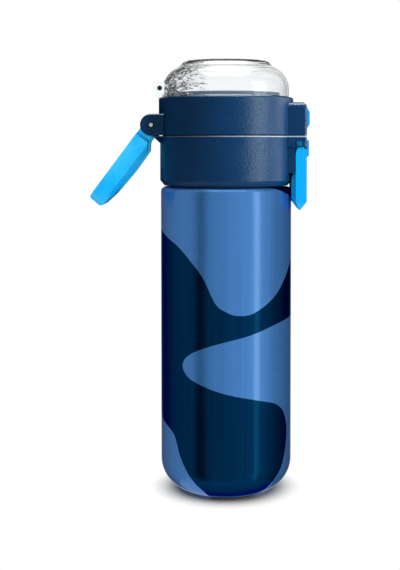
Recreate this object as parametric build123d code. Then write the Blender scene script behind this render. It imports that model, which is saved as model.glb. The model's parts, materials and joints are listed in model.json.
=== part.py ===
from build123d import *
import math
import os

# Insulated drink bottle with a screw collar, a flip lid, a clear dome over the spout and a carry loop.
# Origin: centre of the base. +Z is up, +X points to the latch, -X to the hinge.

# ---- Bottle ----
body_r = 36.5            # outer radius of the body
body_wall = 0.8          # outer steel wall
base_round = 17.0        # rounded corner round the base
foot_width = 2.5         # ring that the bottle stands on
foot_rise = 2.0          # recess inside that ring
shoulder_z = 169.7       # flat shoulder
shoulder_round = 2.8
shoulder_width = 5.5     # from the body's face in to the neck
neck_root_round = 1.2
neck_height = 20.7       # from the shoulder to the top of the mouth
lip_thick = 1.0          # rolled lip round the mouth
flask_wall = 0.7         # inner steel wall
vacuum_gap = 1.5         # between the walls of the body
neck_gap = 0.4           # between the walls of the neck
base_gap = 4.5           # between the bottom plate and the inner flask
dimple_r = 5.0           # evacuation dimple in the bottom plate
dimple_rise = 1.0
getter_r = 3.5
getter_thick = 1.5

# ---- Screw thread ----
thread_starts = 2
thread_lead = 10.0       # rise in one turn
thread_turns = 0.75      # length of each ridge
thread_height = 1.3      # ridge height
thread_root = 2.2        # ridge width at its root
thread_crest = 1.0
thread_bite = 0.3        # how far a ridge is rooted in its wall
thread_start = 6.3       # first ridge above the shoulder
thread_play = 0.45       # ridges' crests to the other wall

# ---- Collar ----
collar_lift = 0.6        # collar's lower edge above the shoulder
collar_wall = 2.65
collar_chamfer = 2.2     # inset of the lower edge
collar_chamfer_rise = 2.8
collar_deck = 3.65       # thickness of the top
seam_lip = 0.7           # raised ring on the top that closes the seam from inside
seam_lip_width = 1.0
seam_lip_room = 0.45     # to the lid's wall
skirt_room = 1.2         # inside the mouth, round the skirt that carries the gasket
skirt_wall = 1.8
skirt_drop = 5.0
pour_step = 1.8          # pour opening's edge inside the skirt
pour_chamfer = 0.8
sleeve_wall = 1.4        # threaded sleeve inside the collar
sleeve_rise = 1.2        # sleeve's lower edge above the collar's
gasket_width = 3.5
gasket_height = 3.4
gasket_squeeze = 0.1     # room above and below it, closed when the collar is tight
gasket_groove = 0.9

# ---- Flip lid ----
seam_gap = 0.5           # between collar and flip lid
lid_proud = 0.7          # lid's face outside the collar's
lid_height = 20.75
lid_wall = 1.7
rim_wall = 1.95          # wall above the deck
rim_round = 1.1
deck_drop = 7.9          # rim's top down to the deck
deck_thick = 2.2
liner_lift = 0.45        # liner plate above the lid's lower edge
liner_thick = 1.8
plug_room = 1.8          # round the plug that fills the pour opening
plug_wall = 1.6
plug_depth = 8.6
plug_seal_room = 0.4     # its seal to the pour opening
plug_seal_height = 1.8
plug_seal_drop = 1.9     # seal's top below the plate
seal_seat = 0.7          # groove depth of the seals

# ---- Spout and vent ----
spout_x = 6.0
spout_bore = 3.3
spout_stem_r = 6.3
spout_stem = 8.0
spout_flange_r = 9.0
spout_flange = 1.2
spout_tip_r = 5.6
spout_height = 9.2       # above the deck
riser_wall = 1.8
vent_x = -14.0
vent_bore = 0.8
vent_stem_r = 1.9
vent_head_r = 3.6
vent_head = 1.2
vent_barb = 0.7          # barb's overhang under the deck

# ---- Main hinge ----
hinge_out = 4.05         # pin axis outside the collar's face
hinge_up = 5.95          # pin axis above the collar's top
pin_r = 1.3
ear_r = 6.0
ear_outer = 17.5         # outer faces of the lid's ears
ear_width = 4.2
ear_round = 0.8          # outer edges of the ears
ear_sink = 0.8           # counterbore round the pin's end
ear_sink_r = 1.7
pin_sink = 0.3           # pin's end inside the ear's face
pin_chamfer = 0.25
arm_width = 3.7          # loop's arm beside each ear
knuckle_r = 4.2
knuckle_lean = 43.0      # slope under the knuckle, degrees
knuckle_heel = 47.0      # where that slope leaves the knuckle, degrees below level
knuckle_neck = 3.2       # knuckle's full width starts this far below the pin

# ---- Carry loop ----
loop_angle = 233.3       # direction it hangs in, degrees from +X towards +Z
loop_length = 53.1       # from the pin to its far edge
loop_half = 16.0         # half its width
loop_arm = 4.5           # width of its arms
loop_back = 3.9         # outer face behind the pin's axis
loop_belly = 7.25         # inner face at mid length
loop_bar = 12.0          # width of the grip bar
loop_step = 10.0         # where the arms widen
loop_corner = 9.0
loop_neck = 4.0          # from there to the opening
loop_heel = 3.0          # straight side above the pin
loop_tip = 3.2           # far edge, from the pin's level towards the belly
loop_taper = 10.0        # where the belly starts to thin towards the tip

# ---- Latch ----
block_out = 7.35         # face of both latch blocks outside the collar's
block_half = 16.5
block_round = 1.5
block_lip = 1.25         # roof over the latch
block_side = 2.2
block_face = 1.3         # its outer wall
block_height = 6.05      # collar's block below its top
block_lift = 0.35        # collar's block above the ring beside it
latch_in = 3.0           # lever's axis inside the block's face
latch_drop = 9.15        # lever's axis below the collar's top
latch_pin_r = 0.9
lug_r = 1.9
lug_width = 2.7
cheek_half = 15.5
cheek_width = 3.5
cheek_r = 2.9
tail_length = 32.1       # from the axis to the pointed tip
tail_point = 5.3
tail_tip_in = 0.8        # point inside the axis
tail_in, tail_out = 3.1, 3.0         # its faces either side of the axis
arm_in, arm_out = 2.6, 1.4           # arms that carry the nose
arm_inset = 1.5          # inside the cheeks' outer faces
pin_blind = 1.1          # cheek left over the pin's end
web_thick = 1.8
pad_proud = 1.5          # thumb pad outside the block's face
pad_half = 10.0
pad_low = 2.8            # pad's ends from the lever's axis
pad_high = 6.8
pad_thick = 1.3
pad_root = 2.1           # where the pad leaves the bridge, above the axis
nose_thick = 1.6
nose_height = 1.4
nose_in = 0.5            # nose's outer face inside the lever's axis
bumper_room = 0.9        # between the bumper and the body
bumper_reach = 1.5       # its corners inside the body's face
bumper_ramp = 9.5        # slope above it
rest_drop = 20.4         # collar's rest behind the lever, below its top
rest_slope = 1.0
rest_rise = 2.8          # its lower face, along the lever's ramp
bumper_top = 17.5
bumper_height = 9.8
bumper_flat = 4.5        # its upright face
bumper_heel = 2.0        # its lower corner, further from the body
catch_thick = 1.0        # lid's catch that the nose hooks
catch_half = 8.0
catch_barb = 0.3
catch_depth = 4.75
window_width = 3.9       # small window in each side of the block
window_height = 3.0
window_in = 1.35         # inside the lever's axis
window_drop = 1.4        # below the roof
spring_wire = 0.7
spring_turns = 6

# ---- Release button ----
lid_block_drop = 2.9     # block's top below the rim
lid_block_round = 3.0
lid_block_side = 2.6     # rounding of its side edges
button_half = 10.0
button_low = 2.75        # above the lid's lower edge
button_roof = 1.9        # block's top above the button
button_proud = 2.0
button_depth = 5.4
button_wall = 1.7
button_bevel = 3.1
button_spring_r = 2.2
button_spring_wire = 0.6
button_spring_turns = 5
pocket_depth = 4.8
catch_bar = 1.4
catch_bar_height = 2.0
prong_inner = 4.5
prong_width = 1.5

# ---- Dome ----
dome_room = 0.4          # rim's bore round the dome
dome_wall = 2.0
dome_step = 0.6          # skirt inside the rim is narrower by this much
dome_lift = 0.4          # visible wall starts above the rim
dome_side = 4.1          # upright part of the wall
dome_shoulder = 13.37    # radius of its shoulder
dome_shoulder_turn = 59.3
crown_in, crown_rise = 2.85, 1.7     # from the shoulder's end up to the crown's edge
bevel_in, bevel_rise = 1.7, 1.9      # and its two bevels
brow_in, brow_rise = 0.9, 0.5
skirt_base = 2.0         # skirt's lower edge above the deck
seal_height = 1.7
ring_r = 30.0            # soft ring inside the dome
ring_lip = 1.2
ring_flange = 1.4
ring_drop = 1.9          # flange's lower face below the rim
ring_rise = 2.7          # lip's top above the rim
dome_hinge_in = 0.95     # dome's axis inside the lid's face
dome_hinge_up = 5.1      # and above the rim
dome_pin_r = 1.3
dome_ear_r = 4.4
dome_ear_inner = 5.0
dome_ear_outer = 9.0
dome_knuckle_r = 3.4
dome_knuckle_half = 4.7
foot_thick = 0.9         # bracket's foot in the rim
foot_depth = 7.0
post_foot, post_head = 2.2, 2.9       # bracket's post outside the dome's axis
tongue_in = 1.9          # dome's tongue inside its wall
tongue_thick = 1.4
tongue_hook = 0.5        # hook at its tip
tongue_lip = 1.2
tongue_root = 3.2        # height that it is joined to the skirt by
tongue_half = 3.6
tongue_depth = 5.1       # below the deck's top
tongue_swing = 1.5       # room for the tongue to swing out

# ---- Clearances ----
fit = 0.05               # pieces fixed in each other
pin_fit = 0.06           # pin in a turning bore
play = 0.3               # pieces that move past each other
knuckle_play = 0.35
slot_room = 0.4          # round what passes through a slot
root_bite = 0.3          # how far a root reaches into the wall that carries it

# ---- Heights and places that follow ----
neck_r = body_r - shoulder_width
foot_r = body_r - base_round - foot_width
mouth_z = shoulder_z + neck_height
neck_top = mouth_z - lip_thick
flask_r = body_r - body_wall - vacuum_gap
flask_z = foot_rise + body_wall + base_gap
flask_round = base_round - body_wall - vacuum_gap
flask_shoulder_z = shoulder_z - body_wall - vacuum_gap
flask_neck_r = neck_r - body_wall - neck_gap
mouth_bore = flask_neck_r - flask_wall
collar_z = shoulder_z + collar_lift
collar_under = mouth_z + gasket_height + 2 * gasket_squeeze
collar_top = collar_under + collar_deck
sleeve_bore = neck_r + thread_height + thread_play
collar_bore = sleeve_bore + sleeve_wall + fit
collar_r = collar_bore + collar_wall
skirt_r = mouth_bore - skirt_room
pour_r = skirt_r - skirt_wall - pour_step
lid_r = collar_r + lid_proud
lid_z = collar_top + seam_gap
lid_top = lid_z + lid_height
lid_bore = lid_r - lid_wall
lip_r = lid_bore - seam_lip_room
rim_bore = lid_r - rim_wall
deck_z = lid_top - deck_drop
deck_under = deck_z - deck_thick
liner_z = lid_z + liner_lift
plug_r = pour_r - plug_room
plug_seal_r = pour_r - plug_seal_room
plug_z = liner_z - plug_depth
plug_seal_z = liner_z - plug_seal_drop - plug_seal_height
hinge_x = -(collar_r + hinge_out)
hinge_z = collar_top + hinge_up
ear_inner = ear_outer - ear_width
arm_outer = ear_inner - play
arm_inner = arm_outer - arm_width
knuckle_half = arm_inner - play
notch_r = knuckle_r + knuckle_play
ear_root_x = -(math.sqrt(lid_bore**2 - ear_inner**2) + root_bite)
block_r = collar_r + block_out
latch_x = block_r - latch_in
latch_z = collar_top - latch_drop
block_z = collar_top - block_height
cheek_inner = cheek_half - cheek_width
lug_outer = cheek_inner - play
pad_face = block_r + pad_proud
bumper_x = body_r - bumper_reach
rest_x = latch_x - tail_in - play
rest_z = collar_top - rest_drop
nose_x = latch_x - nose_in
catch_x = nose_x + play
catch_outer = catch_x + catch_barb + catch_thick
lid_block_top = lid_top - lid_block_drop
button_z = lid_z + button_low
button_top = lid_block_top - button_roof
button_face = block_r + button_proud
button_back = button_face - button_depth
pocket_x = block_r - pocket_depth
dome_r = rim_bore - dome_room
dome_bore = dome_r - dome_wall
tongue_face = dome_bore - tongue_in
catch_bar_z = deck_z - tongue_depth + slot_room
catch_bar_x = tongue_face - tongue_thick - slot_room - catch_bar
dome_low = deck_z + skirt_base
dome_hinge_x = -(lid_r - dome_hinge_in)
dome_hinge_z = lid_top + dome_hinge_up


def outline(corners):
    """Closed face through corners given as (across, up, rounding)."""
    points = [(across, up) for across, up, _ in corners]
    return make_face(FilletPolyline(*points, radius=[rounding for _, _, rounding in corners], close=True))


def turned(corners):
    """Solid of revolution about the bottle's axis."""
    return revolve(Plane.XZ * outline(corners), Axis.Z)


def across(face, half):
    """Side-view face made solid from -half to +half along Y."""
    return extrude(Plane.XZ * face, amount=half, both=True)


def pair(face, inner, outer):
    """Two like plates, one on each side, between two distances from the middle."""
    return across(face, outer) - across(face, inner)


def disc(x, z, radius):
    """Side-view disc."""
    return Pos(x, z) * Circle(radius)


def panel(x_low, x_high, z_low, z_high, rounding=0.0):
    """Side-view rectangle."""
    rounds = [(x_low, z_low), (x_high, z_low), (x_high, z_high), (x_low, z_high)]
    return outline([(x, z, rounding) for x, z in rounds])


def upright(x, y, radius, z_low, z_high):
    """Upright cylinder."""
    return Pos(x, y, z_low) * Cylinder(radius, z_high - z_low, align=(Align.CENTER, Align.CENTER, Align.MIN))


def crossbar(x, z, radius, half):
    """Cylinder along Y."""
    return across(disc(x, z, radius), half)


def thread(wall_r, height, z_start):
    """Ridges of a multi-start right-hand thread on a wall: outward, or inward if height is negative."""
    inward = math.copysign(1.0, height)
    root_r = wall_r - inward * thread_bite
    crest_r = wall_r + height
    section = make_face(Polyline(
        (root_r, 0, -thread_root / 2), (crest_r, 0, -thread_crest / 2),
        (crest_r, 0, thread_crest / 2), (root_r, 0, thread_root / 2), close=True))
    ridge = sweep(section, Helix(thread_lead, thread_lead * thread_turns, wall_r), is_frenet=True)
    turn = 360.0 / thread_starts
    return [Pos(0, 0, z_start) * Rot(0, 0, turn * start) * ridge for start in range(thread_starts)]


def write(name, solid, colour):
    """One STEP file for one piece."""
    solid.label = name
    solid.color = Color(*colour)
    export_step(solid, f"parts/{name}.step")


NAVY, BLUE, LACQUER = (0.01, 0.10, 0.26), (0.0, 0.55, 0.95), (0.16, 0.36, 0.62)
STEEL, WHITE, CLEAR = (0.72, 0.73, 0.75), (0.92, 0.93, 0.94), (0.86, 0.92, 0.96)
DARK, SILICONE = (0.12, 0.13, 0.15), (0.88, 0.90, 0.92)


def make_outer_shell():
    """Lacquered outer wall: foot ring, rounded base, shoulder and threaded neck in one skin."""
    inner_neck = neck_r - body_wall
    shell = turned([
        (foot_r, 0, 0), (body_r, 0, base_round), (body_r, shoulder_z, shoulder_round),
        (neck_r, shoulder_z, neck_root_round), (neck_r, neck_top, 0), (inner_neck, neck_top, 0),
        (inner_neck, shoulder_z - body_wall, neck_root_round + body_wall),
        (body_r - body_wall, shoulder_z - body_wall, shoulder_round - body_wall),
        (body_r - body_wall, body_wall, base_round - body_wall),
        (foot_r + body_wall, body_wall, 0), (foot_r + body_wall, foot_rise + body_wall, 0),
        (foot_r, foot_rise + body_wall, 0)])
    for ridge in thread(neck_r, thread_height, shoulder_z + thread_start):
        shell += ridge
    return shell


def make_inner_flask():
    """Steel liner with a rolled lip that closes both walls at the mouth."""
    inside_r = flask_r - flask_wall
    inside_neck = flask_neck_r - flask_wall
    return turned([
        (0, flask_z, 0), (flask_r, flask_z, flask_round), (flask_r, flask_shoulder_z, shoulder_round),
        (flask_neck_r, flask_shoulder_z, neck_root_round), (flask_neck_r, neck_top, 0),
        (neck_r, neck_top, 0), (neck_r, mouth_z, 0.45 * lip_thick), (inside_neck, mouth_z, 0.45 * lip_thick),
        (inside_neck, flask_shoulder_z - flask_wall, neck_root_round + flask_wall),
        (inside_r, flask_shoulder_z - flask_wall, shoulder_round - flask_wall),
        (inside_r, flask_z + flask_wall, flask_round - flask_wall), (0, flask_z + flask_wall, 0)])


def make_base_cup():
    """Bottom plate, welded inside the foot ring, with a raised evacuation dimple."""
    plate_r, low, high = foot_r - fit, foot_rise, foot_rise + body_wall
    slope, bend = 1.2, 0.4
    return turned([
        (0, low + dimple_rise, 0), (dimple_r, low + dimple_rise, bend), (dimple_r + slope, low, bend),
        (plate_r, low, 0), (plate_r, high, 0), (dimple_r + slope, high, bend),
        (dimple_r, high + dimple_rise, bend), (0, high + dimple_rise, 0)])


def make_vacuum_plug():
    """Sealing bead in the dimple."""
    top = foot_rise + dimple_rise
    bead_r = 0.6 * dimple_r
    return turned([(0, top - 0.8 * dimple_rise, 0), (bead_r, top - 0.8 * dimple_rise, 0.3 * dimple_rise),
                   (bead_r, top, 0), (0, top, 0)])


def make_getter_pad():
    """Getter button on the bottom plate, in the vacuum."""
    x = (dimple_r + foot_r) / 2 + 0.4
    low = foot_rise + body_wall
    return upright(x, 0, getter_r, low, low + getter_thick)


def make_neck_gasket():
    """Silicone ring between the mouth and the collar, with a groove round its outside."""
    inner = skirt_r + play
    outer = inner + gasket_width
    low, high = mouth_z + gasket_squeeze, collar_under - gasket_squeeze
    middle = (low + high) / 2
    return turned([
        (inner, low, 0.3), (outer, low, 0.4), (outer, middle - gasket_groove / 2, 0),
        (outer - gasket_groove, middle, 0), (outer, middle + gasket_groove / 2, 0),
        (outer, high, 0.4), (inner, high, 0.3)])


def make_thread_sleeve():
    """White threaded sleeve inside the collar."""
    outer, low, high = collar_bore - fit, collar_z + sleeve_rise, collar_under - fit
    sleeve = turned([(sleeve_bore, low, 0.5), (outer, low, 0), (outer, high, 0), (sleeve_bore, high, 0)])
    half_pitch = thread_lead / thread_starts / 2
    for ridge in thread(sleeve_bore, -thread_height, shoulder_z + thread_start + half_pitch):
        sleeve += ridge
    return sleeve


def knuckle_side():
    """Side view of the hinge knuckle and the sloped web that carries it."""
    lean = math.radians(knuckle_lean)
    root_x = -(collar_r - collar_wall / 2)
    right_x = -(lid_r + knuckle_play)
    low_x = hinge_x - knuckle_r * math.cos(math.radians(knuckle_heel))
    low_z = hinge_z - knuckle_r * math.sin(math.radians(knuckle_heel))
    foot_z = low_z - (root_x - low_x) * math.tan(lean)
    web = outline([(root_x, foot_z, 0), (low_x, low_z, 0), (hinge_x, hinge_z, 0),
                   (right_x, hinge_z - knuckle_neck, 0), (right_x, collar_top, 0), (root_x, collar_top, 0)])
    return web + disc(hinge_x, hinge_z, knuckle_r)


def make_lid_collar():
    """Lower collar: skirt, top with the pour opening, hinge knuckle and latch block."""
    collar = turned([
        (collar_bore, collar_z, 0), (collar_r - collar_chamfer, collar_z, 0),
        (collar_r, collar_z + collar_chamfer_rise, 0.8), (collar_r, collar_top, 0.5),
        (lip_r, collar_top, 0), (lip_r, collar_top + seam_lip, 0.3),
        (lip_r - seam_lip_width, collar_top + seam_lip, 0.3), (lip_r - seam_lip_width, collar_top, 0),
        (pour_r + pour_chamfer, collar_top, 0), (pour_r, collar_top - pour_chamfer, 0),
        (pour_r, collar_under, 0), (skirt_r - skirt_wall, collar_under - skirt_wall, 0),
        (skirt_r - skirt_wall, collar_under - skirt_drop, 0.4), (skirt_r, collar_under - skirt_drop, 0.4),
        (skirt_r, collar_under, 0), (collar_bore, collar_under, 0)])
    root_r = collar_r - collar_wall / 2
    pocket_back = block_r - block_face - 0.7
    block = across(panel(0, block_r, block_z, collar_top + block_lift), block_half)
    block = fillet(block.edges().filter_by(Axis.Z).group_by(Axis.X)[-1], block_round)
    roof_z = collar_top - block_lip
    inside = block_half - block_side
    block -= across(panel(collar_r - slot_room, block_r - block_face, block_z - 1, roof_z), inside)
    block -= across(panel(pocket_back, block_r + 1, block_z - 1, roof_z), pad_half + slot_room)
    block -= across(panel(catch_x - slot_room, catch_outer + 2 * slot_room, roof_z - 1, collar_top + 1),
                    catch_half + play)
    window_x, window_z = latch_x - window_in, roof_z - window_drop - window_height
    block -= across(panel(window_x - window_width / 2, window_x + window_width / 2,
                          window_z, window_z + window_height, 0.4), block_half + 1)
    lug = pair(disc(latch_x, latch_z, lug_r) + panel(0, latch_x, latch_z - lug_r, latch_z + lug_r),
               lug_outer - lug_width, lug_outer)
    rest = across(outline([(0, rest_z, 0), (rest_x - rest_slope, rest_z, 0), (rest_x, rest_z + rest_rise, 0.8),
                           (rest_x, block_z, 0), (0, block_z, 0)]), cheek_half)
    core = upright(0, 0, root_r, collar_z, collar_top + 2 * block_lift)
    collar += (block + lug + rest) - core
    collar += across(knuckle_side(), knuckle_half)
    collar -= crossbar(hinge_x, hinge_z, pin_r + fit, ear_outer)
    collar -= crossbar(latch_x, latch_z, latch_pin_r + fit, cheek_half)
    return collar


def make_hinge_pin():
    """Steel pin through the ears, the loop's arms and the knuckle."""
    return chamfer(crossbar(hinge_x, hinge_z, pin_r, ear_outer - pin_sink).edges(), pin_chamfer)


def loop_side():
    """Side view of the loop: along it, then away from its outer face."""
    tip, back = loop_length, -loop_back
    return outline([
        (-loop_heel, back, 0), (tip - 1.6, back, 0), (tip - 0.8, back + 0.6, 0), (tip, loop_tip, 1.0),
        (tip - 1.4, loop_tip + 1.4, 1.5), (tip - loop_taper, loop_belly - 1.1, 12.0),
        (tip / 2, loop_belly, 30.0), (loop_step + 3.0, loop_belly - 0.3, 2.0),
        (loop_step - 1.0, knuckle_r, 1.0), (-loop_heel, knuckle_r, 0)])


def loop_plan():
    """Top view of the loop: its blank less the opening, the throat between the eyes and room for the ears."""
    start, reach, inner = -knuckle_r - 2, loop_length, loop_half - loop_arm
    neck, bar = loop_step + loop_neck, loop_length - loop_bar
    blank = outline([(start, -loop_half, 0), (reach, -loop_half, loop_corner),
                     (reach, loop_half, loop_corner), (start, loop_half, 0)])
    opening = outline([(neck, -inner, 3.0), (bar, -inner, 5.0), (bar, inner, 5.0), (neck, inner, 3.0)])
    throat = outline([(start, -arm_inner, 0), (neck + 2, -arm_inner, 2.0), (neck + 2, arm_inner, 2.0),
                      (start, arm_inner, 0)])
    shoulder = outline([(start, arm_outer, 0), (loop_step - 2.5, arm_outer, 0.8),
                        (loop_step, loop_half + 2, 0), (start, loop_half + 2, 0)])
    return blank - opening - throat - shoulder - mirror(shoulder, Plane.XZ)


def make_carry_handle():
    """Carry loop: two eyes on the pin, arms that widen below the ears, and a rounded grip bar."""
    bearing = math.radians(loop_angle)
    hang = Plane(origin=(hinge_x, 0, hinge_z), x_dir=(math.cos(bearing), 0, math.sin(bearing)),
                 z_dir=(-math.sin(bearing), 0, math.cos(bearing)))
    slab = Pos(0, 0, -loop_back - 1) * extrude(loop_plan(), amount=loop_back + loop_belly + 2)
    square_ends = panel(-knuckle_r - 2, 0, -knuckle_r - 2, knuckle_r + 2)
    loop = slab & across(loop_side(), loop_half + 1)
    loop -= across(square_ends - Circle(knuckle_r), loop_half + 1)
    loop -= across(Circle(pin_r + pin_fit), loop_half + 1)
    return hang * loop


def make_latch_lever():
    """Latch lever: cheeks and tail below its pin, a nose inside the block and a thumb pad outside it."""
    tip_z = latch_z - tail_length
    taper_z = tip_z + tail_point
    back_x, face_x, tip_x = latch_x - tail_in, latch_x + tail_out, latch_x - tail_tip_in
    tail = outline([(back_x, latch_z, 0), (back_x, taper_z, 0.8), (tip_x, tip_z, 0.6),
                    (face_x, taper_z, 0.8), (face_x, latch_z, 0)])
    lever = pair(tail + disc(latch_x, latch_z, cheek_r), cheek_inner, cheek_half)
    nose_top = latch_z + pad_high
    arm = outline([(latch_x - arm_in, latch_z, 0), (latch_x - arm_in, nose_top, 0.8),
                   (latch_x + arm_out, nose_top, 0.8), (latch_x + arm_out, latch_z, 0)])
    lever += pair(arm, cheek_inner, cheek_half - arm_inset)
    web_x, web_top = face_x - web_thick, latch_z - lug_r - slot_room - 0.8
    web = outline([(web_x, web_top, 0), (web_x, taper_z + 2.0, 0), (tip_x - 0.6, tip_z + 1.6, 0),
                   (tip_x, tip_z, 0.6), (face_x, taper_z, 0.8), (face_x, web_top, 0)])
    lever += across(web, cheek_half)
    bridge = panel(latch_x + lug_r + play, face_x, web_top - 0.9, latch_z + pad_root)
    lever += across(bridge, cheek_inner + root_bite)
    pad = outline([(face_x - root_bite, latch_z - pad_low, 0), (pad_face, latch_z - pad_low + 0.8, 0.8),
                   (pad_face, latch_z + pad_high, 0.6), (pad_face - pad_thick, latch_z + pad_high, 0.3),
                   (pad_face - pad_thick, latch_z + pad_root + 0.5, 0),
                   (face_x - root_bite, latch_z + pad_root, 0)])
    lever += across(pad, pad_half)
    nose = outline([(nose_x - nose_thick, nose_top - nose_height, 0.3), (nose_x, nose_top - nose_height, 0),
                    (nose_x, nose_top - 0.5, 0), (nose_x - 0.5, nose_top, 0),
                    (nose_x - nose_thick, nose_top, 0.4)])
    lever += across(nose, cheek_inner + root_bite)
    bumper_z = latch_z - bumper_top
    bumper_low, root_x = bumper_z - bumper_height, face_x - root_bite
    bumper = across(outline([
        (bumper_x + bumper_heel, bumper_low, 1.2), (tip_x, tip_z + root_bite, 0), (root_x, taper_z + 1.0, 0),
        (root_x, bumper_z + bumper_ramp, 0), (back_x + root_bite, bumper_z + bumper_ramp, 0),
        (bumper_x, bumper_z, 1.0), (bumper_x, bumper_z - bumper_flat, 1.0)]), pad_half)
    lever += bumper - upright(0, 0, body_r + bumper_room, bumper_low - 1, bumper_z + bumper_ramp + 1)
    return lever - crossbar(latch_x, latch_z, latch_pin_r + pin_fit, cheek_half - pin_blind + fit)


def make_latch_pin():
    """Short steel pin through the lugs into the lever's cheeks."""
    return crossbar(latch_x, latch_z, latch_pin_r, cheek_half - pin_blind - fit)


def make_latch_spring():
    """Torsion spring round the latch pin, with one leg on the collar and one behind the nose."""
    coil_r = latch_pin_r + 0.3 + spring_wire / 2
    pitch, turns = spring_wire + 0.2, spring_turns
    half = pitch * turns / 2
    coil_path = Helix(pitch, pitch * turns, coil_r)
    wire = Plane(origin=coil_path @ 0, z_dir=coil_path % 0) * Circle(spring_wire / 2)
    coil = Rot(-90, 0, 0) * (Pos(0, 0, -half) * sweep(wire, coil_path, is_frenet=True))
    spring = Pos(latch_x, 0, latch_z) * coil
    leg_x = nose_x - nose_thick - play - spring_wire / 2
    leg = upright(leg_x, half, spring_wire / 2, latch_z, latch_z + pad_high - 0.6)
    return [spring, leg]


def make_flip_lid():
    """Flip lid: ring with a recessed deck, hinge ears, catch block and the pockets in it."""
    lid = turned([
        (lid_bore, lid_z, 0), (lid_r, lid_z, 0.3), (lid_r, lid_top, rim_round), (rim_bore, lid_top, 0.6),
        (rim_bore, deck_z, 0.5), (0, deck_z, 0), (0, deck_under, 0), (lid_bore, deck_under, 0)])
    core = upright(0, 0, (lid_bore + lid_r) / 2, lid_z, lid_top)
    block_side_view = outline([(0, lid_z, 0), (block_r, lid_z, 0.3),
                               (block_r, lid_block_top, lid_block_round), (0, lid_block_top, 0)])
    block_front_view = outline([(-block_half, lid_z, 0), (block_half, lid_z, 0),
                                (block_half, lid_block_top, lid_block_side),
                                (-block_half, lid_block_top, lid_block_side)])
    block_top_view = outline([(0, -block_half, 0), (block_r, -block_half, block_round),
                              (block_r, block_half, block_round), (0, block_half, 0)])
    block = across(block_side_view, block_half)
    block &= extrude(Plane.YZ * block_front_view, amount=block_r + 1)
    block &= Pos(0, 0, lid_z) * extrude(block_top_view, amount=lid_height)
    lid += block - core
    ear_face = disc(hinge_x, hinge_z, ear_r) + panel(hinge_x, ear_root_x, lid_z, hinge_z + ear_r)
    ears = pair(ear_face, ear_inner, ear_outer)
    rims = ears.edges().group_by(Axis.Y)
    lid += fillet(rims[0] + rims[-1], ear_round)
    lid -= crossbar(hinge_x, hinge_z, notch_r, ear_inner)
    lid -= crossbar(hinge_x, hinge_z, pin_r + pin_fit, ear_outer + 1)
    lid -= pair(disc(hinge_x, hinge_z, ear_sink_r), ear_outer - ear_sink, ear_outer + 1)
    barb_z = lid_z - catch_depth
    catch = outline([(catch_x + catch_barb, lid_z + 0.5, 0), (catch_x + catch_barb, barb_z + 1.0, 0),
                     (catch_x, barb_z + 1.0, 0), (catch_x + catch_barb, barb_z, 0),
                     (catch_outer, barb_z, 0.3), (catch_outer, lid_z + 0.5, 0)])
    lid += across(catch, catch_half)
    lid -= across(panel(pocket_x, block_r + 1, button_z - play, button_top + play), button_half + play)
    lid -= pair(panel(catch_bar_x, pocket_x + 1, catch_bar_z - play, catch_bar_z + catch_bar_height + play),
                prong_inner - play, prong_inner + prong_width + play)
    slot_in, slot_out = tongue_face - tongue_thick - slot_room, tongue_face + tongue_swing
    lid -= across(panel(slot_in, slot_out, deck_under - 1, deck_z + 1), tongue_half + slot_room)
    lid -= upright(spout_x, 0, spout_stem_r + fit, deck_under - 1, deck_z + 1)
    lid -= upright(vent_x, 0, vent_stem_r + fit, deck_under - 1, deck_z + 1)
    foot_x = -(rim_bore + foot_thick + 2 * fit)
    lid -= across(panel(foot_x, -rim_bore + 1.0, lid_top - foot_depth, lid_top + 1), dome_knuckle_half + fit)
    return lid


def make_lid_liner():
    """White underside of the flip lid: plate, hollow plug and the two risers to the deck."""
    plate_r = lid_bore - 2 * fit
    groove_r = plug_r - seal_seat
    inside = plug_r - plug_wall
    groove_z, groove_top = plug_seal_z - fit, plug_seal_z + plug_seal_height + fit
    liner = turned([
        (0, plug_z, 0), (plug_r, plug_z, 0.8), (plug_r, groove_z, 0), (groove_r, groove_z, 0),
        (groove_r, groove_top, 0), (plug_r, groove_top, 0),
        (plug_r, liner_z, 0), (plate_r, liner_z, 0), (plate_r, liner_z + liner_thick, 0),
        (inside, liner_z + liner_thick, 0), (inside, plug_z + plug_wall, 0), (0, plug_z + plug_wall, 0)])
    socket_z = deck_z - spout_stem - 4 * fit
    vent_socket_z = deck_under - vent_head - 4 * fit
    passages = [(spout_x, spout_stem_r, spout_bore, socket_z),
                (vent_x, vent_stem_r + vent_barb, vent_bore, vent_socket_z)]
    for x, socket_r, bore, socket_low in passages:
        liner += upright(x, 0, socket_r + riser_wall, plug_z + plug_wall / 2, deck_under - fit)
        liner -= upright(x, 0, socket_r + 2 * fit, socket_low, deck_under + 1)
        liner -= upright(x, 0, bore, plug_z - 1, socket_low + 1)
    return liner


def make_lid_gasket():
    """Silicone ring in the plug's groove."""
    inner = plug_r - seal_seat + fit
    top = plug_seal_z + plug_seal_height
    return turned([(inner, plug_seal_z, 0), (plug_seal_r, plug_seal_z, 0.7), (plug_seal_r, top, 0.7),
                   (inner, top, 0)])


def make_spout():
    """Soft spout: stem through the deck, flange and tapered mouthpiece."""
    top = deck_z + spout_height
    neck = spout_tip_r + 1.4
    profile = outline([
        (spout_bore, deck_z - spout_stem, 0), (spout_stem_r, deck_z - spout_stem, 0.5),
        (spout_stem_r, deck_z, 0),
        (spout_flange_r, deck_z, 0), (spout_flange_r, deck_z + spout_flange, 0.5),
        (neck, deck_z + spout_flange + 0.2, 1.0), (spout_tip_r, top, 1.2), (spout_bore, top, 0.7)])
    return Pos(spout_x, 0, 0) * revolve(Plane.XZ * profile, Axis.Z)


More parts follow.
